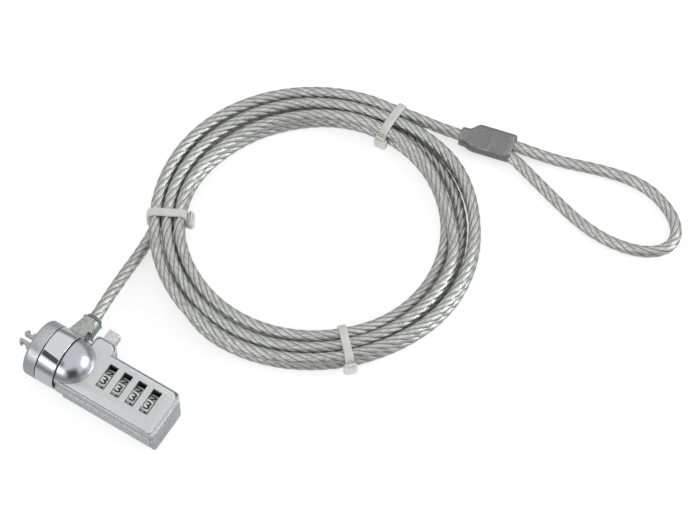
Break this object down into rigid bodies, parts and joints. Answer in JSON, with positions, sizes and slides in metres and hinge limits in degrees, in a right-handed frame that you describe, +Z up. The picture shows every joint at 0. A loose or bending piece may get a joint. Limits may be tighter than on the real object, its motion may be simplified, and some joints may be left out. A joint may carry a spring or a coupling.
{
  "type": "laptop cable lock",
  "caption": "Combination lock with number wheels, side push button and spreading-jaw nose, on a swivel ring and a coiled coated steel cable ending in an anchor loop.",
  "frame": {"origin": "centre of the front cap's face, on the axis of the round head, where the nose leaves it", "axes": "+X from the nose to the rear of the housing, +Y towards the side where the cable and the button are, +Z up through the cover with the wheel windows"},
  "size_m": [0.1687, 0.1785, 0.0204],
  "materials": {
    "satin_zinc": "satin silver plating on cast zinc",
    "cover_silver": "satin silver plating, slightly mottled",
    "bright_chrome": "polished",
    "lug_zinc": "satin grey-green",
    "steel": "turned steel",
    "dark_steel": "blackened steel",
    "spring_steel": "spring wire",
    "jaw_steel": "plated steel",
    "black_washer": "matt",
    "spring_brass": "spring leaf",
    "ring_brass": "turned brass",
    "button_lilac": "satin",
    "wheel_silver": "satin silver with black figures",
    "coated_cable": "galvanised wire rope under a clear coat",
    "ferrule_aluminium": "pressed",
    "tie_nylon": "natural nylon"
  },
  "bodies": {
    "ring_and_cable": {"swivel_ring": "bright_chrome", "cable_lug": "lug_zinc", "crimp_sleeve": "steel", "cable_lead": "coated_cable", "cable_coil": "coated_cable", "cable_run": "coated_cable", "cable_loop": "coated_cable", "loop_ferrule": "ferrule_aluminium", "cable_tie_1": "tie_nylon", "cable_tie_2": "tie_nylon", "cable_tie_3": "tie_nylon"},
    "housing": {"front_cap": "satin_zinc", "neck_tube": "steel", "swivel_washers": "black_washer", "lower_housing": "satin_zinc", "cover_plate": "cover_silver", "dome": "bright_chrome", "end_cap": "satin_zinc", "cover_screws": "dark_steel", "jaw_pivot_pins": "steel", "detent_spring": "spring_brass", "spindle_spring": "spring_steel", "button_spring": "spring_steel"},
    "wheel_1": {"number_wheel_1": "wheel_silver", "code_ring_1": "ring_brass"},
    "wheel_2": {"number_wheel_2": "wheel_silver", "code_ring_2": "ring_brass"},
    "wheel_3": {"number_wheel_3": "wheel_silver", "code_ring_3": "ring_brass"},
    "wheel_4": {"number_wheel_4": "wheel_silver", "code_ring_4": "ring_brass"},
    "spindle": {"locking_spindle": "steel", "spreader_wedge": "steel", "spindle_clip": "dark_steel"},
    "button": {"push_button": "button_lilac"},
    "jaw_left": {"jaw_left": "jaw_steel"},
    "jaw_right": {"jaw_right": "jaw_steel"},
    "reset": {"reset_screw": "dark_steel"}
  },
  "joints": [
    {"name": "swivel", "type": "hinge", "parent": "ring_and_cable", "child": "housing", "pos_m": [0.0087, 0, 0], "axis": [1, 0, 0], "continuous": true},
    {"name": "wheel_1_turn", "type": "hinge", "parent": "housing", "child": "wheel_1", "pos_m": [0.0269, 0, -0.00285], "axis": [1, 0, 0], "continuous": true},
    {"name": "wheel_2_turn", "type": "hinge", "parent": "housing", "child": "wheel_2", "pos_m": [0.0327, 0, -0.00285], "axis": [1, 0, 0], "continuous": true},
    {"name": "wheel_3_turn", "type": "hinge", "parent": "housing", "child": "wheel_3", "pos_m": [0.0385, 0, -0.00285], "axis": [1, 0, 0], "continuous": true},
    {"name": "wheel_4_turn", "type": "hinge", "parent": "housing", "child": "wheel_4", "pos_m": [0.0443, 0, -0.00285], "axis": [1, 0, 0], "continuous": true},
    {"name": "button_push", "type": "slide", "parent": "housing", "child": "button", "axis": [0, -1, 0], "range_m": [0, 0.0024], "stiffness_N_per_m": 500, "springref_m": -0.001, "deforming": ["button_spring"]},
    {"name": "spindle_slide", "type": "slide", "parent": "housing", "child": "spindle", "axis": [-1, 0, 0], "range_m": [0, 0.00241], "deforming": ["spindle_spring"]},
    {"name": "jaw_left_swing", "type": "hinge", "parent": "housing", "child": "jaw_left", "pos_m": [0.0155, 0.0026, 0], "axis": [0, 0, 1], "range_deg": [-4.2, 0]},
    {"name": "jaw_right_swing", "type": "hinge", "parent": "housing", "child": "jaw_right", "pos_m": [0.0155, -0.0026, 0], "axis": [0, 0, 1], "range_deg": [0, 4.2]},
    {"name": "reset_screw_turn", "type": "hinge", "parent": "housing", "child": "reset", "pos_m": [0.0185, 0, -0.009], "axis": [0, 0, -1], "range_deg": [0, 90]}
  ],
  "couplings": [
    {"joint": "spindle_slide", "follows": "button_push", "ratio": 1},
    {"joint": "jaw_left_swing", "follows": "button_push", "rad_per_m": -29.089},
    {"joint": "jaw_right_swing", "follows": "button_push", "rad_per_m": 29.089}
  ]
}
